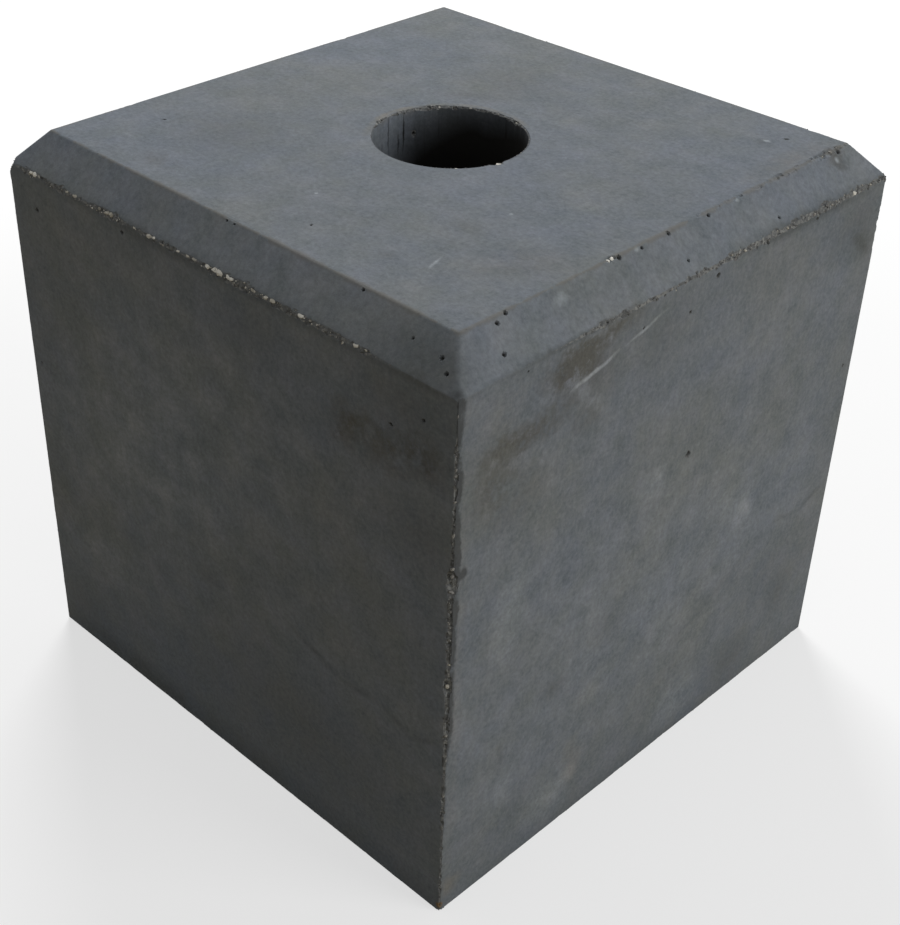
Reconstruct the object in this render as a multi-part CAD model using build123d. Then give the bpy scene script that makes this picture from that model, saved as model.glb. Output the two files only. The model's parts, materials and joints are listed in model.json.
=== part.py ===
from build123d import *
from math import copysign
import os

# Concrete deck pier block: one cast piece, a cube with a bevelled top and a round
# post hole down its middle. Sizes are in millimetres. +Z is up, X and Y are square
# to the four sides, and the origin is the centre of the underside.

# Block
block_width = 300.0
block_depth = 300.0
block_height = 300.0

# Bevel round the top, as the strips in the form leave it
bevel_setback = 15.5
bevel_drop = 17.0

# Post hole, right through the block
hole_diameter = 75.0

# Broken corners: how much each break takes off the level arrises and off the upright one
left_level_loss = 3.4
left_upright_loss = 4.6
right_level_loss = 1.4
right_upright_loss = 1.8
foot_level_loss = 1.6
foot_upright_loss = 2.2


def level_section():
    """Section below the bevel: a rectangle with the round post hole in its middle."""
    return Rectangle(block_width, block_depth) - Circle(hole_diameter / 2)


def bevelled_block():
    """The section drawn up to full height, with its four top arrises bevelled and mitred."""
    block = extrude(level_section(), amount=block_height)
    top = block.faces().sort_by(Axis.Z)[-1]
    arrises = top.outer_wire().edges()
    return chamfer(arrises, length=bevel_setback, length2=bevel_drop, reference=top)


def shoulder_corner(side_x, side_y):
    """Corner where two sides meet two bevels. The sides are given as -1 or 1."""
    shoulder_height = block_height - bevel_drop
    return Vector(side_x * block_width / 2, side_y * block_depth / 2, shoulder_height)


def foot_corner(side_x, side_y):
    """Corner where two sides meet the underside. The sides are given as -1 or 1."""
    return Vector(side_x * block_width / 2, side_y * block_depth / 2, 0)


def break_plane(corner, upright_way, level_loss, upright_loss):
    """Face of a break, looking outwards, through one point on each arris of the corner.

    upright_way is -1 where the upright arris runs down from the corner, and 1 where
    it runs up. A longer loss along the upright arris turns the break more to the sides.
    """
    on_upright = corner + Vector(0, 0, upright_way * upright_loss)
    outwards = Vector(
        copysign(upright_loss, corner.X),
        copysign(upright_loss, corner.Y),
        -upright_way * level_loss,
    )
    return Plane(origin=on_upright, z_dir=outwards)


def corner_breaks():
    """The left and right corners at the shoulder, and the front one at the foot."""
    left = break_plane(shoulder_corner(-1, -1), -1, left_level_loss, left_upright_loss)
    right = break_plane(shoulder_corner(1, 1), -1, right_level_loss, right_upright_loss)
    foot = break_plane(foot_corner(1, -1), 1, foot_level_loss, foot_upright_loss)
    return [left, right, foot]


def pier_block():
    """The block as it stands, with its broken corners."""
    block = bevelled_block()
    for plane in corner_breaks():
        block = split(block, bisect_by=plane, keep=Keep.BOTTOM)
    return block


parts = {"pier_block": pier_block()}

os.makedirs("parts", exist_ok=True)
for node, solid in parts.items():
    export_step(solid, f"parts/{node}.step")
    print(node, "volume", round(solid.volume), "mm3, size", solid.bounding_box().size)
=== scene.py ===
# %% [markdown]
# # A concrete deck pier block
#
# A pier block is the footing of a deck post. It is cast in one piece, in a smooth steel form. Strips in the
# form leave the bevel round the top, and a pipe that stands in it leaves the post hole. A block like this is
# plain in shape, so its looks lie in its skin: arrises (the edges) that have crumbled and bared their sand,
# small round holes where air was caught against the form, and grey that is never one grey.
#
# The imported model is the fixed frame. Everything here is made in its place and at its size.

# %% The fixed frame
import json
import math
from functools import partial

import bpy
import numpy as np
from mathutils import Matrix, Vector


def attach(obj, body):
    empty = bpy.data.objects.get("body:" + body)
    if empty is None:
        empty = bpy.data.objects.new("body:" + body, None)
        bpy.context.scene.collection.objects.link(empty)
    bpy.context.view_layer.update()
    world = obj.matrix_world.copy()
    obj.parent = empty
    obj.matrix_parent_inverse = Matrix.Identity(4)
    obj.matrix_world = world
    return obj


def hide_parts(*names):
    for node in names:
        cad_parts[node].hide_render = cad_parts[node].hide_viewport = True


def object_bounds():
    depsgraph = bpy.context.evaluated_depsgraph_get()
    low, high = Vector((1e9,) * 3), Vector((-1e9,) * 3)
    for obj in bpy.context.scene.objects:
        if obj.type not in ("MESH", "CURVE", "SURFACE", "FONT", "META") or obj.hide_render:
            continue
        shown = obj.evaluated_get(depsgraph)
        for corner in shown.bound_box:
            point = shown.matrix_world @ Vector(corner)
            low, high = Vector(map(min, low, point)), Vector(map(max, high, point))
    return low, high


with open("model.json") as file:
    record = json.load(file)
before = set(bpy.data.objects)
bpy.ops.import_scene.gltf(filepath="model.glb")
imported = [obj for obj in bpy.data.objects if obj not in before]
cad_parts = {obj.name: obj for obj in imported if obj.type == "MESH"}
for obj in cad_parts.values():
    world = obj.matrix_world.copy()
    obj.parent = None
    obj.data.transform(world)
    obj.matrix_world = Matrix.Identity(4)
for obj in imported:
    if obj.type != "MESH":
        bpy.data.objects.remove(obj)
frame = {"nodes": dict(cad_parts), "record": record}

MM = 0.001
cad_low, cad_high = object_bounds()
print("frame box in metres:", tuple(cad_low), tuple(cad_high))

# %% [markdown]
# ## Sizes
#
# All sizes below are in millimetres and come from the frame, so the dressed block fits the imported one. The
# sides give the half width, the top face gives where the bevel ends, and the record's bore gives the hole.

# %% Sizes read from the frame
packed = frame["nodes"]["pier_block"].data
packed_points = np.empty(len(packed.vertices) * 3, dtype=np.float32)
packed.vertices.foreach_get("co", packed_points)
packed_points = packed_points.reshape(-1, 3) / MM
TOUCH = 0.02

half = cad_high.x / MM
height = cad_high.z / MM
top_half = packed_points[packed_points[:, 2] > height - TOUCH, 0].max()
shoulder = packed_points[packed_points[:, 0] > half - TOUCH, 2].max()
bore_radius = next(m["dims"]["r_mm"] for m in frame["record"]["mounts"] if m["name"] == "post_hole")
setback = half - top_half
drop = height - shoulder
slope = math.hypot(setback, drop)
print("half", half, "height", height, "bevel", setback, drop, "hole radius", bore_radius)

# %% [markdown]
# ## Camera
#
# The camera stands where the photograph was taken. Its place and turn were worked out from the block's own
# edges: with a cube, three sets of parallel edges are enough to find the camera. The picture is a crop, so
# the lens axis lies a little off its middle, and the shift takes that up.

# %% Camera
PICTURE_WIDTH = 900
PICTURE_HEIGHT = 925
LONG_SIDE_OF_SENSOR = 36.0
focal_in_pixels = 1600.24
axis_pixel = (410.24, 455.67)
camera_place = Vector((0.49237, -0.52355, 0.59822))
camera_azimuth = math.radians(44.508)
camera_elevation = math.radians(33.864)
camera_roll = math.radians(1.125)

backwards = Vector((
    math.sin(camera_azimuth) * math.cos(camera_elevation),
    -math.cos(camera_azimuth) * math.cos(camera_elevation),
    math.sin(camera_elevation),
))
level = Vector((math.cos(camera_azimuth), math.sin(camera_azimuth), 0))
rightwards = math.cos(camera_roll) * level + math.sin(camera_roll) * backwards.cross(level)
upwards = backwards.cross(rightwards)

camera_data = bpy.data.cameras.new("camera")
camera_data.sensor_width = LONG_SIDE_OF_SENSOR
camera_data.lens = focal_in_pixels * LONG_SIDE_OF_SENSOR / PICTURE_HEIGHT
camera_data.shift_x = (PICTURE_WIDTH / 2 - axis_pixel[0]) / PICTURE_HEIGHT
camera_data.shift_y = (axis_pixel[1] - PICTURE_HEIGHT / 2) / PICTURE_HEIGHT
camera = bpy.data.objects.new("camera", camera_data)
camera.matrix_world = (
    Matrix.Translation(camera_place) @ Matrix((rightwards, upwards, backwards)).transposed().to_4x4()
)
bpy.context.scene.collection.objects.link(camera)
bpy.context.scene.camera = camera
bpy.context.scene.view_settings.view_transform = "Standard"
print("lens", round(camera_data.lens, 2), "shift", camera_data.shift_x, camera_data.shift_y)

# %% [markdown]
# ## Nodes and colours
#
# Materials are node trees. One helper adds a node with its settings and its inputs, and one function turns
# the hex colours that a maker would write down into the linear values that a render works in.

# %% Helpers for materials
def add_node(tree, kind, settings=None, inputs=None):
    """Adds one node. settings are its own options. inputs maps a socket to a value, a node or a socket, or is
    a list of them for the first sockets."""
    node = tree.nodes.new("ShaderNode" + kind)
    if isinstance(inputs, list):
        inputs = dict(enumerate(inputs))
    for name, value in (settings or {}).items():
        setattr(node, name, value)
    for socket, value in (inputs or {}).items():
        if isinstance(value, bpy.types.Node):
            value = value.outputs[0]
        if isinstance(value, bpy.types.NodeSocket):
            tree.links.new(value, node.inputs[socket])
        else:
            node.inputs[socket].default_value = value
    return node


def hex_colour(text):
    """An sRGB hex colour as linear red, green, blue and full cover: ((c + 0.055) / 1.055) to the power of
    2.4, or c / 12.92 where c is small."""
    parts = [int(text[i:i + 2], 16) / 255 for i in (1, 3, 5)]
    linear = [c / 12.92 if c <= 0.04045 else ((c + 0.055) / 1.055) ** 2.4 for c in parts]
    return (*linear, 1.0)


def empty_material(name):
    """A material with nothing in it but its output, and its tree."""
    material = bpy.data.materials.new(name)
    material.use_nodes = True
    tree = material.node_tree
    tree.nodes.clear()
    return material, tree, add_node(tree, "OutputMaterial")


def grey(value):
    """A linear grey of full cover."""
    return (value, value, value, 1.0)


# %% [markdown]
# ## Light
#
# The block stands in a plain studio: a pale floor, an even sky, a soft key lamp from the back left and a wide
# soft lamp low on the right. With the sky alone each side would be as dark as the next. The key lights the
# top and leaves both near sides to the sky, and the low lamp lifts the right side, as in the photograph.
# A lamp of P watts, d metres away, lights a surface that faces it to the level P / (pi² d²).

# %% Lamps
def soft_lamp(name, direction, distance, size, level):
    """A square lamp that looks at the block's middle, with the power that gives that level there."""
    aim = Vector((0, 0, height * MM / 2))
    towards = Vector(direction).normalized()
    data = bpy.data.lights.new(name, "AREA")
    data.size = size
    data.energy = level * (math.pi * distance) ** 2
    lamp = bpy.data.objects.new(name, data)
    lamp.location = aim + towards * distance
    lamp.rotation_mode = "QUATERNION"
    lamp.rotation_quaternion = towards.to_track_quat("Z", "Y")
    bpy.context.scene.collection.objects.link(lamp)
    print(name, "at", tuple(round(c, 2) for c in lamp.location), "power", round(data.energy, 1))
    return lamp


soft_lamp("key", direction=(-0.53, 0.40, 0.745), distance=2.0, size=0.72, level=0.63)
soft_lamp("low_side", direction=(0.85, 0.30, 0.28), distance=1.8, size=0.9, level=0.43)

# %% Which rays see the backdrop
def sees_backdrop(tree):
    """1 for camera, glossy and transmission rays, which show the background, and 0 for the rest."""
    path = add_node(tree, "LightPath")
    seen = path.outputs["Is Camera Ray"]
    for kind in ("Is Glossy Ray", "Is Transmission Ray"):
        seen = add_node(tree, "Math", {"operation": "MAXIMUM"}, [seen, path.outputs[kind]])
    return seen


# %% Sky
SKY_LEVEL = 0.33
world = bpy.data.worlds.new("even_sky")
world.use_nodes = True
bpy.context.scene.world = world
sky = world.node_tree
sky.nodes.clear()
dim = add_node(sky, "Background", inputs={"Color": grey(SKY_LEVEL), "Strength": 1.0})
white = add_node(sky, "Background", inputs={"Color": grey(1.0), "Strength": 1.0})
mixed = add_node(sky, "MixShader", inputs=[sees_backdrop(sky), dim, white])
add_node(sky, "OutputWorld", inputs={"Surface": mixed})

# %% Floor
FLOOR_SIZE = 30.0
floor_mesh = bpy.data.meshes.new("floor")
reach = FLOOR_SIZE / 2
floor_mesh.from_pydata(
    [(-reach, -reach, 0), (reach, -reach, 0), (reach, reach, 0), (-reach, reach, 0)], [], [(0, 1, 2, 3)]
)
floor = bpy.data.objects.new("floor", floor_mesh)
bpy.context.scene.collection.objects.link(floor)

floor_paint, tree, output = empty_material("pale_floor_paint")
bounce = add_node(tree, "BsdfDiffuse", inputs={"Color": hex_colour("#8d7e5b")})
shadowed = add_node(tree, "BsdfDiffuse", inputs={"Color": grey(0.36)})
floor_place = add_node(tree, "TexCoord").outputs["Object"]
from_middle = add_node(tree, "VectorMath", {"operation": "LENGTH"}, [floor_place]).outputs["Value"]
# Far from the lamps the floor is dim, so its own light grows with distance, up to the white of the backdrop
glow_level = add_node(tree, "MapRange", inputs=[from_middle, 0.5, 2.5, 0.62, 0.90])
glow = add_node(tree, "Emission", inputs={"Color": grey(1.0), "Strength": glow_level})
pale = add_node(tree, "AddShader", inputs=[shadowed, glow])
look = add_node(tree, "MixShader", inputs=[sees_backdrop(tree), bounce, pale])
tree.links.new(look.outputs[0], output.inputs["Surface"])
floor.data.materials.append(floor_paint)

# %% [markdown]
# ## Noise
#
# Crumbling follows no rule, but it has a size: sand grains are about a millimetre, and chips a few. Value
# noise gives both. Random numbers stand at the corners of cubes of a chosen size, and every place between
# them takes a smooth blend of the eight nearest. The seed is fixed, so each run gives the same block.

# %% Value noise on whole arrays
LATTICE = 64
lattice = np.random.default_rng(20).random((LATTICE, LATTICE, LATTICE)).astype(np.float32)


def noise(places, size, shift=0.0):
    """Smooth noise from 0 to 1. Each cube is `size` mm wide, and the blend along it is 3 t² - 2 t³."""
    cell = places / size + shift
    low = np.floor(cell)
    part = cell - low
    part = part * part * (3 - 2 * part)
    low = low.astype(np.int64)
    total = np.zeros(places.shape[:-1])
    for corner in np.ndindex(2, 2, 2):
        weight = np.where(corner, part, 1 - part).prod(axis=-1)
        index = (low + corner) % LATTICE
        total += weight * lattice[index[..., 0], index[..., 1], index[..., 2]]
    return total


# %% [markdown]
# ## The cast faces
#
# The block has four kinds of face: sides, bevels, top and underside, and the wall of the hole. Each is a
# small function that says how deep a place lies behind that face and which way the face looks there. Two
# faces that meet make an arris, and the depths behind both say how near a place is to it.

# %% Faces as functions
def flat_face(point, outwards):
    """A flat cast face through a point. Depth is (point - place) · outwards."""
    point = np.array(point, dtype=float)
    outwards = np.array(outwards, dtype=float)
    outwards /= np.linalg.norm(outwards)

    def face(places):
        return (point - places) @ outwards, np.broadcast_to(outwards, places.shape)

    return face


def hole_wall(places):
    """The wall of the post hole. Depth is the distance from the axis less the radius. It looks inwards."""
    reach = np.hypot(places[..., 0], places[..., 1])
    inwards = np.zeros_like(places)
    inwards[..., :2] = -places[..., :2] / reach[..., None]
    return reach - bore_radius, inwards


SIDE_WAYS = {"left_front": (0, -1), "right_front": (1, 0), "right_back": (0, 1), "left_back": (-1, 0)}
sides = {name: flat_face((half * x, half * y, 0), (x, y, 0)) for name, (x, y) in SIDE_WAYS.items()}
bevels = {
    name: flat_face((top_half * x, top_half * y, height), (x * drop, y * drop, setback))
    for name, (x, y) in SIDE_WAYS.items()
}
top_face = flat_face((0, 0, height), (0, 0, 1))
underside = flat_face((0, 0, 0), (0, 0, -1))
print("faces:", len(sides) + len(bevels) + 3)


def at_arris(places, first_face, second_face):
    """How places lie to the arris where two faces meet. First comes the depth behind the plane through the
    arris that looks midway between the faces: the depths behind both added up, over the length of their two
    directions added up. Then come those directions added up, that length, and the depth that goes with one
    millimetre along a face."""
    first_depth, first_way = first_face(places)
    second_depth, second_way = second_face(places)
    both = first_way + second_way
    length = np.linalg.norm(both, axis=-1)
    return (first_depth + second_depth) / length, both, length, np.sqrt(1 - (length / 2) ** 2)


# %% [markdown]
# ## Where the arrises crumbled
#
# An arris of concrete holds little cement, so it breaks off in crumbs when the form is struck and whenever
# the block is moved. Each arris has its own mean wear, the width of the broken band on either face. The list
# of worn places adds to it near a point, and each of those was looked for in the photograph.

# %% Arrises and their wear
WEAR = {
    "shoulder": 0.95, "upper": 0.3, "foot": 0.45, "upright": 0.4, "mitre": 0.2, "rim": 0.35, "lower_rim": 0.8,
}
FRONT_UPRIGHT_WEAR = 0.75
ways = list(SIDE_WAYS)
arrises = []
for i, name in enumerate(ways):
    following = ways[(i + 1) % 4]
    upright_wear = FRONT_UPRIGHT_WEAR if name == "left_front" else WEAR["upright"]
    arrises.append((sides[name], bevels[name], WEAR["shoulder"]))
    arrises.append((bevels[name], top_face, WEAR["upper"]))
    arrises.append((sides[name], underside, WEAR["foot"]))
    arrises.append((sides[name], sides[following], upright_wear))
    arrises.append((bevels[name], bevels[following], WEAR["mitre"]))
arrises.append((top_face, hole_wall, WEAR["rim"]))
arrises.append((underside, hole_wall, WEAR["lower_rim"]))
print(len(arrises), "arrises")

# Each worn place is x, y, z, how far it reaches and how much wider the band is at its middle. The second list
# is for the arrises that the photograph doesn't show, which are given the same kinds of wear.
worn_places = [
    (-122, -150, 283, 30, 0.5), (-70, -150, 283, 14, 0.9), (7, -150, 283, 12, 1.0), (23, -150, 283, 8, 1.0),
    (45, -150, 283, 25, 0.6), (80, -150, 283, 16, 0.6), (128, -150, 283, 30, -0.8),
    (150, 100, 283, 70, 0.9), (150, 30, 283, 40, 0.7), (150, -40, 283, 40, 0.1), (150, -120, 283, 45, -0.7),
    (150, -150, 195, 7, 2.6), (150, -150, 140, 5, 1.8), (150, -150, 150, 110, 0.8), (150, -150, 255, 12, 0.5),
    (-150, -150, 283, 10, -0.8), (134.5, 121, 300, 7, 1.2), (134.5, -44, 300, 4, 1.0),
    (134.5, 60, 300, 3, 0.8), (37, -7, 300, 4, 1.9), (-27, 27, 300, 30, 0.6), (6, 37, 300, 24, 0.5),
    (-37, 3, 300, 18, 0.3), (-35, -14, 300, 9, 0.5), (-33, 18, 300, 4, 1.0), (150, -150, 284, 9, -0.8),
]
worn_places += [
    (-70, 150, 283, 34, 0.9), (30, 150, 283, 12, 1.1), (95, 150, 283, 22, 0.7), (-150, 60, 283, 32, 0.8),
    (-150, -30, 283, 11, 1.2), (-150, -95, 283, 30, 0.5), (-150, 150, 130, 60, 0.7), (-150, 150, 214, 8, 2.0),
    (-150, 150, 52, 6, 1.6), (70, 150, 0, 45, 0.8), (-150, -50, 0, 50, 0.7), (-150, 90, 0, 14, 1.4),
]

# %% How much an arris has lost
LEAST_WIDTH = 0.15
ARRIS_ZONE = 5.0
GRIT = 0.5
VOID_WIDTH = 1.9
VOID_FROM = 0.64
VOID_DEPTH = 0.65
# How much painted shade and dirt a void gets
VOID_SHADE_AND_DIRT = 0.12


def lost_width(places, mean_wear):
    """Width of the broken band at each place: the arris's mean plus each worn place's share, which falls off
    as 1 - (distance / reach)², times slow noise."""
    width = np.full(places.shape[:-1], float(mean_wear))
    for x, y, z, reach, extra in worn_places:
        away = ((places - (x, y, z)) ** 2).sum(axis=-1) / reach ** 2
        width += extra * np.clip(1 - away, 0, None)
    slow_noise = 0.35 + 0.9 * noise(places, 9) + 0.45 * noise(places, 3.2, 7.7)
    return np.clip(width, LEAST_WIDTH, None) * slow_noise


def crumble(places, hollow, first_face, second_face, mean_wear):
    """Takes the arris off along a rough plane across the two faces' middle direction.

    Where the loss is more than a place's depth, the place moves in by the difference. Small voids, where a
    grain fell out, go deeper, and `hollow` notes how much of a void each place is in.
    """
    depth, both, length, slant = at_arris(places, first_face, second_face)
    near = depth < ARRIS_ZONE * slant
    spot = places[near]
    width = lost_width(spot, mean_wear)
    grit = GRIT * (0.6 * noise(spot, 1.7, 3.3) + 0.4 * noise(spot, 0.9, 5.1) - 0.5)
    aside = depth[near] / slant[near]
    voids = np.clip((noise(spot, VOID_WIDTH, 9.9) - VOID_FROM) / 0.1, 0, 1)
    voids *= np.clip(1.7 - aside / (width + 0.4), 0, 1)
    voids *= np.clip(2.2 * width - 1.2, 0, 1)
    loss = slant[near] * width + grit * np.clip(width, 0, 1) + VOID_DEPTH * voids
    moved = np.clip(loss - depth[near], 0, None) / length[near]
    result = places.copy()
    result[near] = spot - both[near] * moved[:, None]
    # Voids get a little painted shade and dirt
    hollow[near] = np.maximum(hollow[near], VOID_SHADE_AND_DIRT * voids * (moved > 0))
    return result


# %% [markdown]
# ## Rounded arrises
#
# Paste never fills the corner where two strips meet, or a strip meets the trowelled top, so those arrises
# come out of the form rounded: the near mitre most, the others less. They are rounded before any crumbles.

# %% Rounding an arris
ROUND_FRONT_MITRE = 2.4
ROUND_MITRE = 1.0
ROUND_UPPER = 0.9
rounded = []
for i, name in enumerate(ways):
    round_mitre = ROUND_FRONT_MITRE if name == "left_front" else ROUND_MITRE
    rounded.append((bevels[name], bevels[ways[(i + 1) % 4]], round_mitre))
    rounded.append((bevels[name], top_face, ROUND_UPPER))


def round_over(places, first_face, second_face, width):
    """Rounds an arris to a parabola that meets both faces `width` away from it. With d the depth at the arris
    and D that depth at the width, a place moves in by D/2 (1 - d/D)²."""
    depth, both, length, slant = at_arris(places, first_face, second_face)
    most = width * slant
    part = np.clip(1 - depth / most, 0, None)
    return places - both * (most / 2 * part ** 2 / length)[:, None]


print(len(rounded), "arrises rounded")

# %% [markdown]
# ## Three broken corners
#
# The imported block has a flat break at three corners: both ends of the near bevels, and the near foot. They
# are cut here along the same planes, roughened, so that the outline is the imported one.

# %% Broken corners
BREAK_ROUGHNESS = 0.25
BREAK_ZONE = 0.8
# corner x, y, z, which way the upright arris runs from it, loss on the level arrises, loss on the upright one
broken_corners = [
    (-half, -half, shoulder, -1, 3.4, 4.6),
    (half, half, shoulder, -1, 1.4, 1.8),
    (half, -half, 0.0, 1, 1.6, 2.2),
]


def break_corner(places, x, y, z, upright_way, level_loss, upright_loss):
    """Moves what stands outside the plane of the break straight back to it, with a little roughness."""
    outwards = np.array([
        math.copysign(upright_loss, x), math.copysign(upright_loss, y), -upright_way * level_loss])
    outwards /= np.linalg.norm(outwards)
    on_plane = np.array([x, y, z + upright_way * upright_loss])
    beyond = (places - on_plane) @ outwards
    near = beyond > -BREAK_ZONE
    rough = BREAK_ROUGHNESS * noise(places[near], 1.5, 2.2)
    result = places.copy()
    result[near] -= np.clip(beyond[near] + rough, 0, None)[:, None] * outwards
    return result


# %% [markdown]
# ## Air holes
#
# Air that was caught against the form left round holes in the skin, 1 to 3 mm across. Each is written by the
# face it is on and its two sizes along that face, so the list can be read against the photograph. The grid
# is first gathered round each hole, as cloth round a button, so that a small hole gets several rings of
# points, and then the places inside its circle sink as a bowl.

# %% Places on the faces
down_slope = np.array([setback, drop]) / slope
# Each face: where its measures start, the way across it, the way along it, and the way it looks. Along is
# upwards on a side and down the slope on a bevel.
FACES = {"top": np.array([(0, 0, height), (1, 0, 0), (0, 1, 0), (0, 0, 1)])}
for name, (x, y) in SIDE_WAYS.items():
    across_way = (abs(y), abs(x), 0)
    FACES[name] = np.array([(half * x, half * y, 0), across_way, (0, 0, 1), (x, y, 0)])
    FACES[name + "_bevel"] = np.array([
        (top_half * x, top_half * y, height), across_way,
        (x * down_slope[0], y * down_slope[0], -down_slope[1]),
        (x * down_slope[1], y * down_slope[1], down_slope[0]),
    ])


def on_face(face, across, along):
    """A place on a face, start + across (way across) + along (way along), and the way the face looks."""
    start, across_way, along_way, outwards = FACES[face]
    return start + across * across_way + along * along_way, outwards


def heading(azimuth):
    """A level direction of length 1, by its angle from +X in degrees."""
    return np.array([math.cos(math.radians(azimuth)), math.sin(math.radians(azimuth)), 0.0])


def on_hole_wall(azimuth, z):
    """A place on the wall of the hole, by its direction from the axis in degrees and its height."""
    return heading(azimuth) * bore_radius + (0, 0, z), -heading(azimuth)


print("faces with measures:", list(FACES))

# %% The air holes that the photograph shows
# Each is its place across and along the face, and its width
seen_holes = {
    "right_front": [
        (9, 186, 3.2), (-4, 266, 1.5), (13.9, 277.7, 2.2), (-37.2, 271, 1.2), (51, 280.2, 1.3),
        (90.6, 279.8, 1.8), (142, 180, 1.6), (-110.6, 280, 1),
    ],
    "left_front": [(-129.5, 264.5, 2.4), (-60, 277.7, 1.9), (114, 256, 2), (132, 266, 1.8), (-143, 174, 1.4)],
    "top": [(112, 116, 1.7), (27, -113, 1.2), (-108, -87, 1.2)],
    "left_front_bevel": [
        (116.6, 9.7, 1.3), (133.3, 11.4, 1.9), (138.8, 16, 1.9), (83, 1.6, 1.6), (-2, 1.2, 1.2),
        (3, 1.2, 1.1),
    ],
    "right_front_bevel": [
        (-115.2, 3.1, 2), (-119.3, 15.1, 2), (-109, 1, 2), (-39.3, 1.1, 2.2), (-24.7, 1.6, 1.6),
        (-6.2, 1.2, 1.9), (-2.8, 15.3, 1.4), (21.9, 1.7, 1.9), (63.8, 16.8, 1.5), (124.4, 2, 2.4),
    ],
}
air_holes = [
    (*on_face(face, across, along), width)
    for face, rows in seen_holes.items() for across, along, width in rows
]
air_holes.append((*on_hole_wall(161.8, 287), 2.6))
print(len(air_holes), "air holes seen")

# %% Air holes on the sides that the photograph doesn't show
HIDDEN_HOLES = 9
chance = np.random.default_rng(31)
for face in ("right_back", "left_back"):
    across = chance.uniform(-0.85 * half, 0.85 * half, HIDDEN_HOLES)
    up = chance.uniform(0.45 * shoulder, 0.96 * shoulder, HIDDEN_HOLES)
    widths = chance.uniform(1.2, 2.8, HIDDEN_HOLES)
    air_holes += [(*on_face(face, a, z), width) for a, z, width in zip(across, up, widths)]
print(len(air_holes), "air holes in all")

# %% Gathering the grid and sinking the bowls
GATHER_REACH = 4.5
GATHER = 0.42
BOWL_DEPTH = 0.55


def split_from(places, centre, outwards):
    """Each place's offset from a centre, in the face and out of it."""
    offset = places - centre
    out = offset @ outwards
    return offset - out[:, None] * outwards, out


def gather(places, centre, outwards):
    """Draws places near a centre towards it. A distance r becomes r (k + (1 - k) s), with s = 3t² - 2t³ of
    t = r / reach, so nothing moves at the reach and places at the middle lie k times as far apart."""
    near = np.nonzero((abs(places - centre) < GATHER_REACH).all(axis=1))[0]
    aside, out = split_from(places[near], centre, outwards)
    t = np.clip(np.linalg.norm(aside, axis=1) / GATHER_REACH, 0, 1)
    s = t * t * (3 - 2 * t)
    pull = (1 - GATHER) * (1 - s) * (abs(out) < TOUCH)
    places[near] -= aside * pull[:, None]


def sink(places, hollow, centre, outwards, width):
    """Sinks places inside a circle as a bowl: depth times the root of 1 - (r / radius)². The bowl's painted
    shade and dirt reach just past its edge, as 1.6 - 1.5 r / radius."""
    near = np.nonzero((abs(places - centre) < width).all(axis=1))[0]
    aside, out = split_from(places[near], centre, outwards)
    r = np.linalg.norm(aside, axis=1) / (width / 2)
    bowl = BOWL_DEPTH * width * np.sqrt(np.clip(1 - r * r, 0, None))
    hollow[near] = np.maximum(hollow[near], np.clip(1.6 - 1.5 * r, 0, 1) * (abs(out) < width))
    places[near] -= outwards * (bowl * (abs(out) < 1.0))[:, None]


# %% [markdown]
# ## The grid
#
# The whole skin is one closed grid of two parameters. One runs round the block in plan, and the other runs
# round the section: up the side, over the bevel, in across the top, down the hole and out across the
# underside. In plan, a place is a blend of a point of the square and the point of the circle in the same
# direction, so that every column of the grid lies in one upright plane through the axis. Both parameters
# close on themselves, so the skin has no seam and no pole. Steps are finest along the arrises.

# %% Steps of both parameters
def graded(length, fine, coarse, zone):
    """Distances from 0 to length, `fine` apart within `zone` of each end and `coarse` apart between them."""
    ends = np.arange(0.0, zone, fine)
    count = int(np.ceil((length - 2 * zone) / coarse))
    middle = np.linspace(zone, length - zone, count + 1)
    return np.concatenate([ends, middle, length - ends[::-1]])


seen_steps = graded(2 * half, 0.55, 0.75, 6)[:-1] / half - 1
hidden_steps = graded(2 * half, 0.8, 1.1, 6)[:-1] / half - 1
ones = np.ones_like
square = np.concatenate([
    np.stack([seen_steps, -ones(seen_steps)], axis=1),
    np.stack([ones(seen_steps), seen_steps], axis=1),
    np.stack([-hidden_steps, ones(hidden_steps)], axis=1),
    np.stack([-ones(hidden_steps), -hidden_steps], axis=1),
])
circle = square / np.linalg.norm(square, axis=1)[:, None]

up_side = graded(shoulder, 0.5, 0.85, 5)[:-1]
up_bevel = graded(slope, 0.45, 0.7, 4)[:-1] / slope
across_top = graded(top_half - bore_radius, 0.5, 1.0, 4)[:-1] / (top_half - bore_radius)
SHOWN_DEPTH = 75.0
down_hole = np.concatenate([
    graded(SHOWN_DEPTH, 0.5, 1.1, 5)[:-1],
    SHOWN_DEPTH + graded(height - SHOWN_DEPTH, 1.0, 3.0, 5)[:-1],
])
across_underside = 1 - graded(half - bore_radius, 0.8, 2.5, 5)[:-1] / (half - bore_radius)

# Each row of the section: half width of the square, share of the circle, and height.
rows = np.concatenate([
    np.stack([np.full_like(up_side, half), 0 * up_side, up_side], axis=1),
    np.stack([half - setback * up_bevel, 0 * up_bevel, shoulder + drop * up_bevel], axis=1),
    np.stack([np.full_like(across_top, top_half), across_top, np.full_like(across_top, height)], axis=1),
    np.stack([np.full_like(down_hole, top_half), ones(down_hole), height - down_hole], axis=1),
    np.stack([np.full_like(across_underside, half), across_underside, 0 * across_underside], axis=1),
])
print("grid:", len(square), "columns by", len(rows), "rows")


# %% The ideal skin
def ideal_skin():
    """Places of the uncrumbled skin: ((1 - share) half_width square + share radius circle, height)."""
    half_width, share, up = rows.T[:, :, None]
    plan_x = (1 - share) * half_width * square[:, 0] + share * bore_radius * circle[:, 0]
    plan_y = (1 - share) * half_width * square[:, 1] + share * bore_radius * circle[:, 1]
    return np.stack([plan_x, plan_y, np.broadcast_to(up, plan_x.shape)], axis=-1).reshape(-1, 3)


skin = ideal_skin()
print(len(skin), "places")

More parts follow.
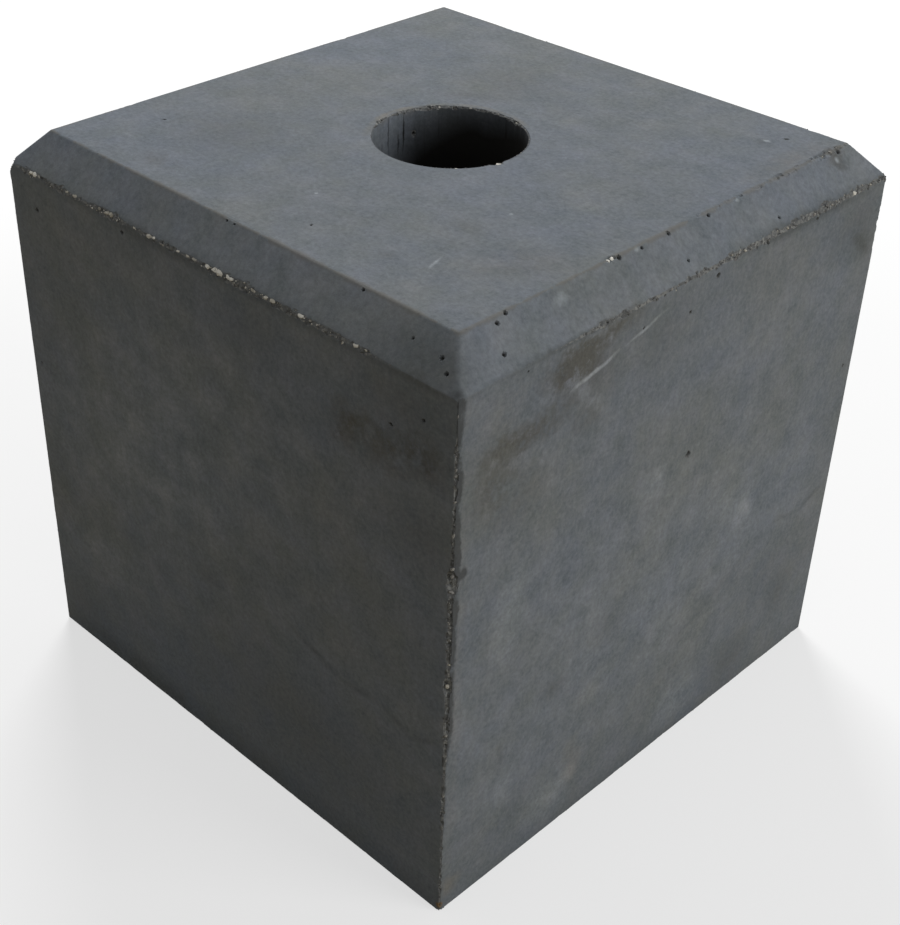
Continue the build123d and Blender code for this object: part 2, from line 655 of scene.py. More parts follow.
# %% The worn skin
def wear_arrises(places, hollow):
    """Rounds what the form rounded, crumbles every arris in turn, then breaks the three corners."""
    for first_face, second_face, width in rounded:
        places = round_over(places, first_face, second_face, width)
    for first_face, second_face, mean_wear in arrises:
        places = crumble(places, hollow, first_face, second_face, mean_wear)
    for corner in broken_corners:
        places = break_corner(places, *corner)
    return places


for centre, outwards, width in air_holes:
    gather(skin, centre, outwards)
ideal_places = skin.copy()
hollow = np.zeros(len(skin))
skin = wear_arrises(skin, hollow)
bare_depth = np.linalg.norm(skin - ideal_places, axis=1)
for centre, outwards, width in air_holes:
    sink(skin, hollow, centre, outwards, width)
print(int((hollow > 0).sum()), "places in voids and bowls")
print("skin spans", skin.min(axis=0), skin.max(axis=0))

# %% [markdown]
# ## From grid to mesh
#
# The grid is dense everywhere, but only the arrises and holes need it. Decimation joins what lies flat and
# keeps what stands out, and takes the skin below 200,000 triangles. Faces stay flat-shaded, because broken
# concrete has facets, apart from the wall of the hole, which is round.

# %% Mesh of a closed grid
def closed_grid_mesh(name, places, row_count, column_count):
    """A mesh of quads over rows and columns that both close on themselves, in metres."""
    index = np.arange(row_count * column_count).reshape(row_count, column_count)
    right = np.roll(index, -1, axis=1)
    above = np.roll(index, -1, axis=0)
    above_right = np.roll(right, -1, axis=0)
    quads = np.stack([index, right, above_right, above], axis=-1).reshape(-1)
    mesh = bpy.data.meshes.new(name)
    mesh.vertices.add(len(places))
    mesh.vertices.foreach_set("co", (places * MM).astype(np.float32).ravel())
    mesh.loops.add(len(quads))
    mesh.loops.foreach_set("vertex_index", quads.astype(np.int32))
    mesh.polygons.add(len(quads) // 4)
    mesh.polygons.foreach_set("loop_start", np.arange(0, len(quads), 4, dtype=np.int32))
    mesh.update(calc_edges=True)
    return mesh


TRIANGLE_BUDGET = 192000
dense = closed_grid_mesh("dense", skin, len(rows), len(square))
dense.attributes.new("hollow", "FLOAT", "POINT").data.foreach_set("value", hollow.astype(np.float32))
cast_block = bpy.data.objects.new("cast_block", dense)
bpy.context.scene.collection.objects.link(cast_block)
thin = cast_block.modifiers.new("thin_out", "DECIMATE")
thin.ratio = TRIANGLE_BUDGET / (2 * len(skin))
finished = bpy.data.meshes.new_from_object(cast_block.evaluated_get(bpy.context.evaluated_depsgraph_get()))
cast_block.modifiers.clear()
cast_block.data = finished
finished.name = "cast_block"
print("block:", len(finished.vertices), "vertices,", len(finished.polygons), "faces")

# %% Finish of the faces
centres = np.empty(len(finished.polygons) * 3, dtype=np.float32)
finished.polygons.foreach_get("center", centres)
centres = centres.reshape(-1, 3) / MM
RIM_ZONE = 2.5
on_wall = (np.hypot(centres[:, 0], centres[:, 1]) < bore_radius + 0.6) & (
    abs(centres[:, 2] - height / 2) < height / 2 - RIM_ZONE)
finished.polygons.foreach_set("use_smooth", on_wall)
finished.update()
print(int(on_wall.sum()), "faces on the wall of the hole")

# %% [markdown]
# ## Concrete
#
# Precast concrete from a smooth steel form. Its skin is cement paste, a matt cool grey, because the fine
# paste goes to the form and hides the sand. To the eye it is cloudy at every scale: the paste dries unevenly,
# form oil leaves brown patches, lime leaves pale ones, and rubbing leaves streaks. Where the skin is broken
# the concrete is warmer and coarse. The colours below are mixed in that order, from the paste outwards.
#
# Arrises are found from the place alone. With M and m the larger and the smaller of |x| and |y|, the depth
# behind a side is half - M, and the depths behind the bevel and the top follow from M and z. A place near an
# arris has small depths behind both of its faces, so the larger of the two is its distance from the arris.

# %% Colours of the concrete
PASTE = "#6f757c"
PASTE_WARM = "#71736e"
OIL_BROWN = "#504e47"
# Damp stains, and painted shade at the foot of the sides and on the top
DAMP_AND_SHADE_DARK = "#4a4d4c"
LIME_PALE = "#989ea2"
DUST_BEIGE = "#7a766c"
ARRIS_DUST = "#6b675e"
BROKEN_DARK = "#5c5d5d"
BROKEN_MIDDLE = "#6a6c6c"
BROKEN_PALE = "#858684"
# Near black of the hole's wall: oil, and painted shade deep down and where the wall turns from the light
WALL_OIL_AND_SHADE = "#191816"
# Painted shade, with some dirt, in voids and the bowls of air holes
HOLLOW_SHADE_AND_DIRT = "#191918"
# Grime, and painted shade, on the front upright arris
GRIME_AND_SHADE = "#333434"
RUST = "#7c6340"


# %% Marks on the faces
MARK_DEPTH = 5.0


def mark(face, across, along, half_long, half_short, strength, turn=0.0):
    """An oval mark on a face, as its middle, its turn about the face's axis, its half sizes in x, y, z and
    its strength. The turn is given in degrees, from the way across to the way along."""
    middle, outwards = on_face(face, across, along)
    across_way, along_way = FACES[face][1:3]
    half_sizes = np.full(3, float(half_short))
    half_sizes[across_way.argmax()] = half_long
    if not face.endswith("bevel"):
        half_sizes[abs(outwards).argmax()] = MARK_DEPTH
    return middle, math.radians(turn) * np.cross(across_way, along_way), half_sizes, strength


def streak(face, start, end, half_width, strength):
    """A thin mark from one place on a face to another."""
    run = np.subtract(end, start)
    middle = np.add(start, end) / 2
    half_long = np.hypot(*run) / 2 + half_width
    return mark(face, *middle, half_long, half_width, strength, math.degrees(math.atan2(run[1], run[0])))


def marks_of(table):
    """All marks of a table. A row of four, which starts with two places, is a streak. The rest are ovals."""
    return [(streak if len(row) == 4 else mark)(face, *row) for face, rows in table.items() for row in rows]


# %% Marks that the photograph shows, and the same kinds on the two sides that it doesn't
# Across, along, half length, half width, strength and any turn of each oval, or both ends, half width and
# strength of each streak
oil_marks = {
    "left_front": [
        (112, 245, 46, 17, 0.7), (90, 246, 14, 14, 0.4), (133, 252, 16, 12, 0.5), (-55, 278, 30, 9, 0.3),
        (120, 270, 40, 14, 0.3),
    ],
    "right_front": [
        (-85, 271, 26, 13, 1), (-105, 250, 34, 10, 0.75, 6), (-55, 279, 26, 7, 0.7, 10),
        (-128, 240, 22, 22, 0.5), (-118, 222, 34, 22, 0.35), (-70, 240, 14, 9, 0.35),
        (-68, 262, 30, 22, 0.45),
    ],
    "top": [(108, -68, 24, 12, 0.2, 40), (-70, -118, 16, 8, 0.25), (74, -66, 12, 9, 0.25)],
    "right_front_bevel": [(121, 4, 9, 7, 0.8)],
    "right_back": [(40, 264, 34, 11, 0.6), (-78, 236, 24, 15, 0.35)],
    "left_back": [(-62, 268, 38, 10, 0.6), (84, 226, 26, 18, 0.35)],
}
damp_and_shade_marks = {
    # Marks along the foot, at along 0: darker towards the bottom, partly dirt, partly painted shade
    "left_front": [
        (0, 0, 260, 20, 0.5), (-90, 4, 60, 14, 0.45), (0, 0, 300, 70, 0.2), (60, 60, 110, 50, 0.3),
        (-12, 108, 12, 8, 0.3), (0, 282, 200, 4, 0.35), (135, 262, 40, 30, 0.3), (25, 262, 32, 24, 0.25),
        (132, 212, 32, 28, 0.35), (-125, 22, 30, 22, 0.2), ((45, 115), (85, 102), 3.5, 0.4),
        ((82, 102), (110, 105), 3, 0.4), ((108, 105), (130, 97), 3, 0.4), ((128, 97), (146, 106), 3, 0.4),
    ],
    "right_front": [
        (0, 0, 300, 70, 0.2), (0, 0, 240, 12, 0.25), (-78, 95, 13, 9, 0.5), (-40, 110, 16, 14, 0.3),
        (115, 45, 18, 22, 0.3), (138, 250, 14, 10, 0.4, -50), (90, 281, 66, 5, 0.5), (70, 283, 110, 45, 0.15),
        (150, 160, 34, 200, 0.15), (-25, 262, 32, 26, 0.25), (130, 264, 34, 26, 0.35),
        (100, 68, 60, 30, 0.25), (75, 22, 26, 24, 0.3), (-88, 283, 66, 2, 0.7),
        ((145, 105), (120, 97), 3, 0.4), ((122, 97), (98, 103), 3, 0.3), ((100, 102), (-10, 55), 5, 0.2),
        ((-114, 85), (-111, 62), 3, 0.4), ((125, 262), (143, 245), 4, 0.3),
    ],
    "top": [
        (-70, 80, 9, 6, 0.3), (70, -109, 8, 5, 0.3), (107, 104, 7, 5, 0.4), (-30, 44, 24, 8, 0.25, 35),
        # The mark at 150, 60 is painted shade: the top darker towards +x, where the key's light falls off
        (150, 60, 60, 120, 0.1), (-25, 75, 38, 34, 0.22), (-75, -75, 38, 34, 0.25),
        ((100, -100), (128, -62), 5, 0.2),
    ],
    "left_front_bevel": [
        (-50, 10, 26, 13, 0.25), (125, 16, 40, 10, 0.35), (132, 11.5, 40, 18, 0.3), (0, 23, 220, 7, 0.3),
    ],
    "right_front_bevel": [(80, 22, 75, 5, 0.5)],
    "right_back": [(0, 0, 280, 34, 0.5), (96, 92, 30, 12, 0.3), ((-146, 104), (-40, 96), 3.5, 0.3)],
    "left_back": [(0, 0, 280, 34, 0.5), (-20, 118, 20, 12, 0.3), ((60, 88), (146, 104), 3.5, 0.3)],
}
lime_marks = {
    "left_front": [(-75, 150, 90, 60, 0.25), (-20, 200, 110, 80, 0.2), (-100, 72, 50, 28, 0.15, 10)],
    "right_front": [
        (-20, 110, 190, 105, 0.11), (-12, 182, 18, 11, 0.22), (60, 132, 32, 13, 0.25, -42),
        (-112, 160, 14, 34, 0.3, -8), (-112, 53, 14, 20, 0.2), (-75, 24, 26, 22, 0.3), (25, 24, 26, 22, 0.3),
        ((-84, 259), (-50, 267), 1.6, 1), ((-50, 267), (-20, 274), 1.2, 0.8),
    ],
    "top": [
        (107, 107, 2.2, 1.6, 1.6), (5, -90, 1.2, 1.2, 1.6), (78, -43, 1.2, 1.2, 1.6),
        ((85, -92), (90, -106), 1, 0.8),
    ],
    "right_front_bevel": [
        (-79.4, 5.6, 5, 3.5, 0.8), (-28, 1.2, 2.5, 1.5, 0.9), (44, 1.4, 2, 1.5, 1.4), (120.6, 5, 2, 2, 1.2),
    ],
    "right_back": [(-30, 165, 90, 55, 0.2), ((62, 196), (98, 206), 1.3, 0.8)],
    "left_back": [(20, 160, 100, 60, 0.2), (-92, 96, 30, 38, 0.15)],
}
dust_marks = {
    "right_front": [
        (-58, 30, 9, 26, 0.35, 8), (-143, 14, 8, 9, 0.7), (-146, 150, 7, 160, 0.25), (-125, 262, 22, 22, 0.2),
    ],
    "top": [(112, -78, 34, 16, 0.2, 50), (128, 95, 10, 40, 0.3)],
}

# %% Marks round the hole, on the front arris and at the foot
# Each is its middle, its turn, its half sizes and its strength. On the wall of the hole, the first two are
# painted shade where the wall turns from the light, and the one below 0 is painted light where it faces it.
upright = (0, 0, 0)
wall_painted_light_and_runs = [
    ((27.0, 27.0, height - 18.0), upright, (38.0, 38.0, 60.0), 0.75),
    ((-15.8, 34.0, height - 18.0), upright, (46.0, 46.0, 60.0), 0.60),
    (on_hole_wall(205, height - 20)[0], upright, (30.0, 30.0, 50.0), -0.75),
]
# Dark runs down the wall: direction from the axis in degrees, height, half length and strength
wall_runs = [(187, 292, 16, 0.8), (171, 290, 13, 0.8), (176, 284, 8, 0.6), (195, 284, 6, 0.6)]
for azimuth, z, half_long, strength in wall_runs:
    turn = (0, 0, math.radians(azimuth))
    wall_painted_light_and_runs.append((on_hole_wall(azimuth, z)[0], turn, (3.0, 0.8, half_long), strength))
# Grime and painted shade along the front upright arris, where its rounding turns from the light
front_grime_and_shade = [
    ((half + 2.4, -half, 200.0), upright, (3.4, 7.0, 200.0), 5.4),
    ((half, -143.5, 198.0), upright, (3.0, 3.4, 3.4), 1.5),
    ((half - 1.5, 1.5 - half, 285.5), upright, (3.5, 3.5, 4.0), 1.0),
]
rust_marks = [((half - 0.5, 0.5 - half, 4.0), upright, (2.2, 2.2, 2.4), 1.6)]
# Dust beside the rim: direction from the axis in degrees, and strength
DUST_FROM_AXIS = 39.5
rim_marks = []
for azimuth, strength in {75: 0.55, 98: 0.55, 121: 0.6, 144: 0.7, 167: 0.9, 192: 0.9, 215: 0.5}.items():
    x, y, _ = DUST_FROM_AXIS * heading(azimuth)
    rim_marks.append(mark("top", x, y, 11, 3.0, strength, azimuth + 90))
print("marks:", {kind: sum(map(len, table.values())) for kind, table in (
    ("oil", oil_marks), ("shade_and_stains", damp_and_shade_marks), ("lime", lime_marks), ("dust", dust_marks))})


# %% Sizes of the patterns
CLOUD_WIDTH = 70
PATCH_WIDTH = 16
GRAIN_WIDTH = 2.5
RUN_WIDTH = 1.8
SAND_WIDTH = 1.3
GRIT_WIDTH = 0.9
GRIT_HEIGHT = 0.25
OIL_WANDERS = 26.0
MARKS_WANDER = 4.0
BEVELS_LIGHTER = 1.11


# %% Concrete material
def sum_of_marks(tree, marks, where):
    """Adds up the marks: each is strength (1 - distance / size), and none below 0."""
    total = 0.0
    for middle, turn, half_sizes, strength in marks:
        local = add_node(tree, "Mapping", {"vector_type": "TEXTURE"}, {
            "Vector": where, "Location": tuple(middle), "Rotation": tuple(turn), "Scale": tuple(half_sizes)})
        fall = add_node(tree, "TexGradient", {"gradient_type": "SPHERICAL"}, [local])
        total = add_node(tree, "Math", {"operation": "MULTIPLY_ADD"}, [fall.outputs["Fac"], strength, total])
    return total


def concrete_material():
    """Form-cast concrete. Every pattern's scale is a real size: cloud, grain and grit widths are in mm."""
    material, tree, output = empty_material("form_cast_concrete")
    add = partial(add_node, tree)

    # Place in millimetres, and how deep it lies behind each ideal face
    coordinates = add("TexCoord")
    place = add("VectorMath", {"operation": "SCALE"}, {0: coordinates.outputs["Object"], "Scale": 1 / MM})
    positive = add("VectorMath", {"operation": "ABSOLUTE"}, [place])
    plan = add("SeparateXYZ", inputs=[positive])
    up = add("SeparateXYZ", inputs=[place]).outputs["Z"]
    larger = add("Math", {"operation": "MAXIMUM"}, [plan.outputs["X"], plan.outputs["Y"]])
    smaller = add("Math", {"operation": "MINIMUM"}, [plan.outputs["X"], plan.outputs["Y"]])
    from_corner = add("Math", {"operation": "SUBTRACT"}, [larger, smaller])
    flat = add("VectorMath", {"operation": "MULTIPLY"}, [place, (1, 1, 0)])
    from_axis = add("VectorMath", {"operation": "LENGTH"}, [flat]).outputs["Value"]
    behind_side = add("Math", {"operation": "SUBTRACT"}, [half, larger])
    behind_top = add("Math", {"operation": "SUBTRACT"}, [height, up])
    behind_wall = add("Math", {"operation": "SUBTRACT"}, [from_axis, bore_radius])
    below_shoulder = add("Math", {"operation": "SUBTRACT"}, [shoulder, up])
    bevel_part = add("Math", {"operation": "MULTIPLY"}, [below_shoulder, down_slope[0]])
    behind_bevel = add("Math", {"operation": "MULTIPLY_ADD"}, [behind_side, down_slope[1], bevel_part])
    depth = up
    for behind in (behind_side, behind_bevel, behind_top, behind_wall):
        depth = add("Math", {"operation": "MINIMUM"}, [depth, behind])

    # Noise of several real sizes, and places moved about by it
    def noise_of(width, detail, roughness):
        return {"Vector": place, "Scale": 1 / width, "Detail": detail, "Roughness": roughness}

    clouds = add("TexNoise", inputs=noise_of(CLOUD_WIDTH, 3.0, 0.6))
    patches = add("TexNoise", inputs=noise_of(PATCH_WIDTH, 5.0, 0.7))
    grain = add("TexNoise", inputs=noise_of(GRAIN_WIDTH, 2.0, 0.8))
    off_centre = add("VectorMath", {"operation": "SUBTRACT"}, [patches.outputs["Color"], (0.5,) * 3])
    wandered = add("VectorMath", {"operation": "MULTIPLY_ADD"}, [off_centre, (OIL_WANDERS,) * 3, place])
    nudged = add("VectorMath", {"operation": "MULTIPLY_ADD"}, [off_centre, (MARKS_WANDER,) * 3, place])

    # Layers over the paste, each a factor and a paint: warm clouds, then marks broken up by patches of noise
    warmth = add("MapRange", inputs=[clouds.outputs["Fac"], 0.38, 0.66, 0.0, 0.45])
    layers = [(warmth, hex_colour(PASTE_WARM))]
    patchiness = add("MapRange", {"clamp": False}, [patches.outputs["Fac"], 0.3, 0.7, 0.45, 1.55])
    kinds = [
        (marks_of(dust_marks) + rim_marks, nudged, DUST_BEIGE, 0.60),
        (marks_of(oil_marks), wandered, OIL_BROWN, 0.75),
        (marks_of(damp_and_shade_marks), nudged, DAMP_AND_SHADE_DARK, 0.70),
        (marks_of(lime_marks), nudged, LIME_PALE, 0.75),
    ]
    for marks, where, paint, most in kinds:
        broken_up = add("Math", {"operation": "MULTIPLY"}, [sum_of_marks(tree, marks, where), patchiness])
        layers.append((add("Math", {"operation": "MINIMUM"}, [broken_up, most]), hex_colour(paint)))
    colour = hex_colour(PASTE)
    for factor, paint in layers:
        colour = add("Mix", {"data_type": "RGBA"}, {0: factor, 6: colour, 7: paint}).outputs[2]

    # Cloudiness: how light the paste is, from clouds down to grain. The bevels are a tenth lighter all over
    mottle = add("MapRange", inputs=[behind_bevel, 0.15, 0.6, BEVELS_LIGHTER, 1.0])
    for source, strength in ((clouds, 0.10), (patches, 0.95), (grain, 0.80)):
        centred = add("Math", {"operation": "SUBTRACT"}, [source.outputs["Fac"], 0.5])
        mottle = add("Math", {"operation": "MULTIPLY_ADD"}, [centred, strength, mottle])
    hue = add("VectorMath", {"operation": "MULTIPLY_ADD"}, [off_centre, (0.14, 0.0, 0.18), (1.0,) * 3])
    colour = add("VectorMath", {"operation": "MULTIPLY"}, [colour, hue]).outputs[0]
    colour = add("VectorMath", {"operation": "SCALE"}, {0: colour, "Scale": mottle}).outputs[0]

    # The hole's wall is oily, with darker runs where oil ran down the pipe, and painted shade further down
    beside_wall = add("Math", {"operation": "ABSOLUTE"}, [behind_wall])
    on_wall = add("MapRange", {"interpolation_type": "SMOOTHSTEP"}, [beside_wall, 0.4, 1.3, 1.0, 0.0])
    # Painted shade: the wall is painted darker the deeper it lies below the top
    deeper = add("MapRange", inputs=[behind_top, 1.0, 36.0, 0.22, 0.90])
    drawn_out = add("VectorMath", {"operation": "MULTIPLY"}, [place, (1, 1, 0.05)])
    runs = add("TexNoise", inputs={"Vector": drawn_out, "Scale": 1 / RUN_WIDTH, "Detail": 2.0})
    run = add("MapRange", inputs=[runs.outputs["Fac"], 0.60, 0.74, 0.0, 0.08])
    # The wall's dark runs are oil stains, and its marks are painted shade and painted light
    runs_and_painted_light = add("Math", {"operation": "ADD"}, [run, sum_of_marks(tree, wall_painted_light_and_runs, nudged)])
    shade_and_stains = add("Math", {"operation": "ADD", "use_clamp": True}, [deeper, runs_and_painted_light])
    inside = add("Math", {"operation": "MULTIPLY"}, [shade_and_stains, on_wall])

    # Broken concrete: bared sand and mortar, a different shade from grain to grain
    grains = add("TexVoronoi", inputs={"Vector": place, "Scale": 1 / SAND_WIDTH})
    shades = add("SeparateColor", inputs=[grains.outputs["Color"]])
    ramp = add("ValToRGB", inputs=[shades.outputs[0]])
    ramp.color_ramp.elements[0].color = hex_colour(BROKEN_DARK)
    ramp.color_ramp.elements[1].color = hex_colour(BROKEN_PALE)
    ramp.color_ramp.elements.new(0.55).color = hex_colour(BROKEN_MIDDLE)
    # Where the form rounded the mitres and upper arrises, the skin is whole though it lies as deep
    above = add("MapRange", inputs=[below_shoulder, -2.0, -4.0])
    on_mitre = add("MapRange", inputs=[from_corner, 4.0, 2.0])
    low_mitre = add("MapRange", inputs={0: below_shoulder, 1: 0.5, 2: -1.0, 4: on_mitre})
    whole = add("Math", {"operation": "MAXIMUM"}, [above, low_mitre])
    near_bevel = add("MapRange", inputs=[behind_bevel, 4.0, 2.0])
    form_round = add("Math", {"operation": "MULTIPLY"}, [whole, near_bevel])
    exposed = add("Math", {"operation": "MULTIPLY_ADD"}, [form_round, -0.6, depth])
    bared = add("MapRange", {"interpolation_type": "SMOOTHSTEP"}, [exposed, 0.06, 0.24])

    # The front upright arris has grime and painted shade, and there is a spot of rust at its foot
    grime_and_shade = add("Math", {"operation": "MINIMUM"}, [sum_of_marks(tree, front_grime_and_shade, nudged), 0.68])
    rust = add("Math", {"operation": "MINIMUM"}, [sum_of_marks(tree, rust_marks, place), 0.8])

    # Beige dust lies in a thin broken line along the upper arrises, where a place is near both faces
    behind_both = add("Math", {"operation": "MAXIMUM"}, [behind_bevel, behind_top])
    along_face = add("Math", {"operation": "DIVIDE"}, [behind_both, down_slope[1]])
    band = add("MapRange", inputs=[patches.outputs["Fac"], 0.38, 0.62, 0.2, 3.0])
    beside = add("MapRange", {"interpolation_type": "SMOOTHSTEP"}, [along_face, 0.0, band, 0.6, 0.0])

    # Voids and the bowls of the air holes get painted shade and some dirt, over everything else
    hollows = add("Attribute", {"attribute_name": "hollow"})
    layers = [
        (inside, hex_colour(WALL_OIL_AND_SHADE)), (bared, ramp), (grime_and_shade, hex_colour(GRIME_AND_SHADE)), (rust, hex_colour(RUST)),
        (beside, hex_colour(ARRIS_DUST)), (hollows.outputs["Fac"], hex_colour(HOLLOW_SHADE_AND_DIRT)),
    ]
    for factor, paint in layers:
        colour = add("Mix", {"data_type": "RGBA"}, {0: factor, 6: colour, 7: paint}).outputs[2]

    # Grain of the skin, and grit where it is broken
    grit = add("TexNoise", inputs={"Vector": place, "Scale": 1 / GRIT_WIDTH, "Detail": 2.0})
    bump = add("Bump", inputs={"Height": grit.outputs["Fac"], "Strength": 0.25, "Distance": GRIT_HEIGHT * MM})
    roughness = add("MapRange", inputs=[patches.outputs["Fac"], 0.3, 0.7, 0.74, 0.92])
    shader = add("BsdfPrincipled", inputs={
        "Base Color": colour, "Roughness": roughness, "Specular IOR Level": 0.12, "Normal": bump})
    tree.links.new(shader.outputs[0], output.inputs["Surface"])
    return material


cast_block.data.materials.append(concrete_material())
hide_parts("pier_block")
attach(cast_block, "root")

# %% [markdown]
# ## Bared sand
#
# Where the arrises crumbled, grains of sand stand half out of the mortar: quartz, limestone and flint, up to
# 3 mm across. Each is a small stone, made by cutting a ball with a few planes, because sand has flats. A
# grain is set where the wear has bared the concrete, and what would stand out of the cast faces is pressed
# back to them, as the form did. All grains are worked out together, as an array of grains by directions.

# %% One ball of directions
RING = 6
RINGS = 3
around = np.arange(RING) * 2 * math.pi / RING
tilt = (np.arange(RINGS) + 1) * math.pi / (RINGS + 1)
ring_points = np.stack([
    np.sin(tilt)[:, None] * np.cos(around), np.sin(tilt)[:, None] * np.sin(around),
    np.cos(tilt)[:, None] * np.ones(RING),
], axis=-1).reshape(-1, 3)
ball = np.concatenate([[[0, 0, 1]], ring_points, [[0, 0, -1]]])


def ball_triangles():
    """Triangles of a ball of rings between two poles, facing outwards."""
    ring = 1 + np.arange(RING * RINGS).reshape(RINGS, RING)
    turned = np.roll(ring, -1, axis=1)
    upper, lower = ring[:-1].ravel(), ring[1:].ravel()
    upper_next, lower_next = turned[:-1].ravel(), turned[1:].ravel()
    last = RING * RINGS + 1
    return np.concatenate([
        np.stack([np.zeros(RING, int), ring[0], turned[0]], axis=1),
        np.stack([upper, lower, lower_next], axis=1),
        np.stack([upper, lower_next, upper_next], axis=1),
        np.stack([np.full(RING, last), turned[-1], ring[-1]], axis=1),
    ])


print("a grain has", len(ball), "points and", len(ball_triangles()), "triangles")

# %% Grains that the photograph shows
# distance along the arris, radius, and tint from 0, dark, to 1, white
left_shoulder_grains = [
    (-132, 1.3, 0.95), (-128.5, 1.4, 0.97), (-124.7, 0.9, 0.7), (-101.6, 0.9, 0.8), (-96, 1.2, 0.78),
    (-77, 0.9, 0.7), (-71, 1.5, 0.75), (-68.5, 1.2, 0.8), (-50.6, 0.9, 0.8), (-40, 1.4, 0.85),
    (-36, 1.0, 0.97), (-18.7, 1.2, 0.9), (-12, 0.9, 0.8), (-8, 0.9, 0.7), (0.6, 1.1, 0.98), (5.4, 1.6, 0.95),
    (8.6, 1.5, 0.92), (14.4, 1.2, 0.9), (17, 1.1, 0.92), (30, 0.9, 0.8), (39, 1.0, 0.85), (43.8, 1.2, 0.8),
    (60.6, 1.2, 0.95), (66, 0.8, 0.7), (94, 0.9, 0.9), (99, 0.9, 0.88),
]
right_shoulder_grains = [
    (33.3, 0.8, 0.8), (29, 0.6, 0.65), (59, 0.6, 0.6), (66.5, 0.9, 0.78), (103, 0.7, 0.65), (121.6, 0.9, 0.9),
    (136, 0.7, 0.75), (88, 0.6, 0.6), (8, 0.6, 0.6), (-20, 0.6, 0.6),
]
upright_grains = [
    (276, 0.9, 0.5), (251.5, 0.9, 0.55), (248.6, 1.0, 0.58), (236.3, 1.1, 0.64), (220, 1.0, 0.64),
    (203, 1.0, 0.62), (198, 1.0, 0.58), (191, 1.1, 0.6), (181, 0.7, 0.5), (172.6, 0.8, 0.58),
    (165.7, 0.7, 0.55), (152.4, 1.0, 0.74), (139.3, 1.1, 0.82), (112, 0.7, 0.66), (75, 0.7, 0.66),
]
upper_grains = [(-43, 1.3, 0.96), (-45, 1.2, 0.94), (120, 0.9, 0.6), (125, 0.8, 0.5)]
# For the rim: direction from the axis in degrees, how far out from the rim, radius and tint
rim_grains = [
    (141, 0.0, 0.7, 0.92), (118, 0.0, 0.7, 0.92), (76, 0.0, 0.6, 0.9), (349, 1.7, 1.5, 0.86),
    (95, 0.0, 0.5, 0.6), (60, 0.0, 0.5, 0.7),
]
# Each grain's place, the way that it is drawn out, its radius and its tint
seen_grains = [((x, 0.24 - half, shoulder + 0.26), (1, 0, 0), r, tint) for x, r, tint in left_shoulder_grains]
seen_grains += [((half, y, shoulder), (0, 1, 0), r, tint) for y, r, tint in right_shoulder_grains]
seen_grains += [((half, -half, z), (0, 0, 0), r, tint) for z, r, tint in upright_grains]
seen_grains += [((top_half, y, height), (0, 1, 0), r, tint) for y, r, tint in upper_grains]
for azimuth, out, r, tint in rim_grains:
    along_rim = tuple(heading(azimuth + 90))
    seen_grains.append(((bore_radius + out) * heading(azimuth) + (0, 0, height), along_rim, r, tint))
nearest = [int(np.argmin(((ideal_places - place) ** 2).sum(axis=1))) for place, _, _, _ in seen_grains]
print(len(seen_grains), "grains seen")

# %% All grains
GRAIN_COUNT = 1100
LEAST_BARE = 0.16
pick = np.random.default_rng(44)
bare = np.nonzero(bare_depth > LEAST_BARE)[0]
spots = ideal_places[bare]
at_shoulder = abs(spots[:, 2] - shoulder) < 4
at_front = (spots[:, 0] > half - 4) & (spots[:, 1] < 4 - half) & ~at_shoulder
at_rim = (np.hypot(spots[:, 0], spots[:, 1]) < bore_radius + 4) & (spots[:, 2] > height / 2)
clean_corner = np.linalg.norm(spots - (half, -half, shoulder), axis=1) < 14
weight = (0.06 + 0.94 * at_shoulder + 0.5 * at_front + 0.4 * at_rim) * ~clean_corner
chosen = pick.choice(bare, GRAIN_COUNT, p=weight / weight.sum())
centres = skin[chosen] + pick.normal(0, 0.12, (GRAIN_COUNT, 3))
radii = np.clip(pick.lognormal(math.log(0.38), 0.36, GRAIN_COUNT), 0.25, 1.0)
tints = pick.beta(1.6, 3.4, GRAIN_COUNT)
at_left_shoulder = (ideal_places[chosen, 1] < 4 - half) & (abs(ideal_places[chosen, 2] - shoulder) < 4)
tints += 0.22 * at_left_shoulder - 0.12 * at_front[np.searchsorted(bare, chosen)]
centres = np.concatenate([centres, skin[nearest]])
radii = np.concatenate([radii, [1.15 * r for _, _, r, _ in seen_grains]])
tints = np.concatenate([tints, [tint for _, _, _, tint in seen_grains]])
long_ways = np.concatenate([np.zeros((GRAIN_COUNT, 3)), [way for _, way, _, _ in seen_grains]])
print(len(bare), "bare places,", len(radii), "grains")

# %% Shape of the grains
DRAWN_OUT = 0.45


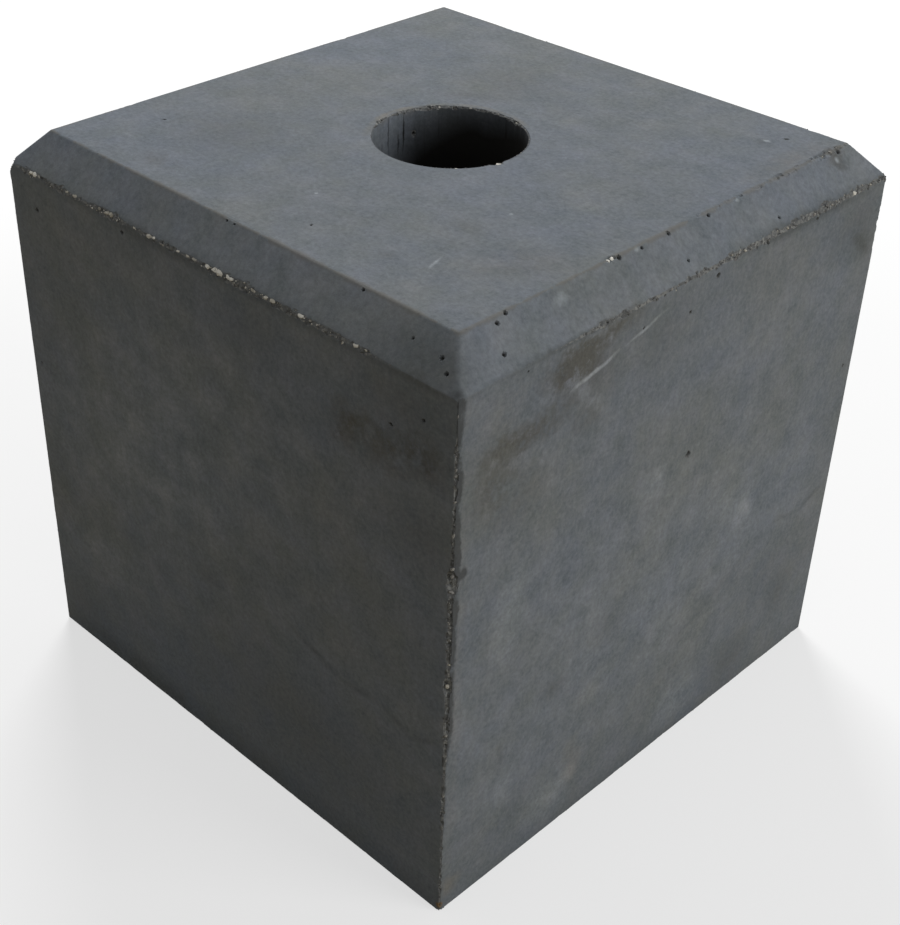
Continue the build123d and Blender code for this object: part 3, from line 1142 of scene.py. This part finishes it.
def grain_points():
    """Points of all grains: centre + radius r(d) d, turned and stretched, with r the least of h / (d · n)
    over the cutting planes of each grain, and at most 1. A grain that was seen on a level arris is also drawn
    out along it."""
    count = len(radii)
    planes = pick.normal(size=(count, 9, 3))
    planes /= np.linalg.norm(planes, axis=-1, keepdims=True)
    reach = pick.uniform(0.5, 0.95, (count, 9))
    facing = np.einsum("dk,cnk->cdn", ball, planes)
    cut = np.where(facing > 0.15, reach[:, None, :] / np.maximum(facing, 0.15), 1.0).min(axis=-1)
    shape = ball * np.minimum(cut, 1.0)[..., None] * pick.uniform(0.6, 1.3, (count, 1, 3))
    turn, _ = np.linalg.qr(pick.normal(size=(count, 3, 3)))
    turn[:, :, 0] *= np.sign(np.linalg.det(turn))[:, None]
    offsets = radii[:, None, None] * np.einsum("cdk,cjk->cdj", shape, turn)
    along = np.einsum("cdk,ck->cd", offsets, long_ways)
    return centres[:, None] + offsets + DRAWN_OUT * along[..., None] * long_ways[:, None]


INSIDE = 0.03
grains = grain_points().reshape(-1, 3)
for face in [*sides.values(), *bevels.values(), top_face, underside, hole_wall]:
    behind, outwards = face(grains)
    grains = grains - outwards * np.clip(INSIDE - behind, 0, None)[:, None]

triangles = ball_triangles()[None] + len(ball) * np.arange(len(radii))[:, None, None]
sand_mesh = bpy.data.meshes.new("bared_sand")
sand_mesh.from_pydata((grains * MM).tolist(), [], triangles.reshape(-1, 3).tolist())
tint = sand_mesh.attributes.new("tint", "FLOAT", "POINT")
tint.data.foreach_set("value", np.repeat(tints, len(ball)).astype(np.float32))
bared_sand = bpy.data.objects.new("bared_sand", sand_mesh)
bpy.context.scene.collection.objects.link(bared_sand)
print("sand:", len(sand_mesh.polygons), "triangles")


# %% Sand material
def sand_material():
    """River sand: broken quartz, limestone and flint, from dark grey over brown to cream and white, with a
    slight sheen on the flats. Each grain has one shade, and most at the left shoulder are paler."""
    material, tree, output = empty_material("river_sand")
    shade = add_node(tree, "Attribute", {"attribute_name": "tint"})
    ramp = add_node(tree, "ValToRGB", inputs={0: shade.outputs["Fac"]})
    ramp.color_ramp.elements[0].color = hex_colour("#4c4c4b")
    ramp.color_ramp.elements[1].color = hex_colour("#e6e4dc")
    for position, paint in ((0.35, "#5f5e5d"), (0.6, "#7b7975"), (0.8, "#a9a599")):
        ramp.color_ramp.elements.new(position).color = hex_colour(paint)
    shader = add_node(tree, "BsdfPrincipled", inputs={
        "Base Color": ramp, "Roughness": 0.6, "Specular IOR Level": 0.3})
    tree.links.new(shader.outputs[0], output.inputs["Surface"])
    return material


bared_sand.data.materials.append(sand_material())
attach(bared_sand, "root")
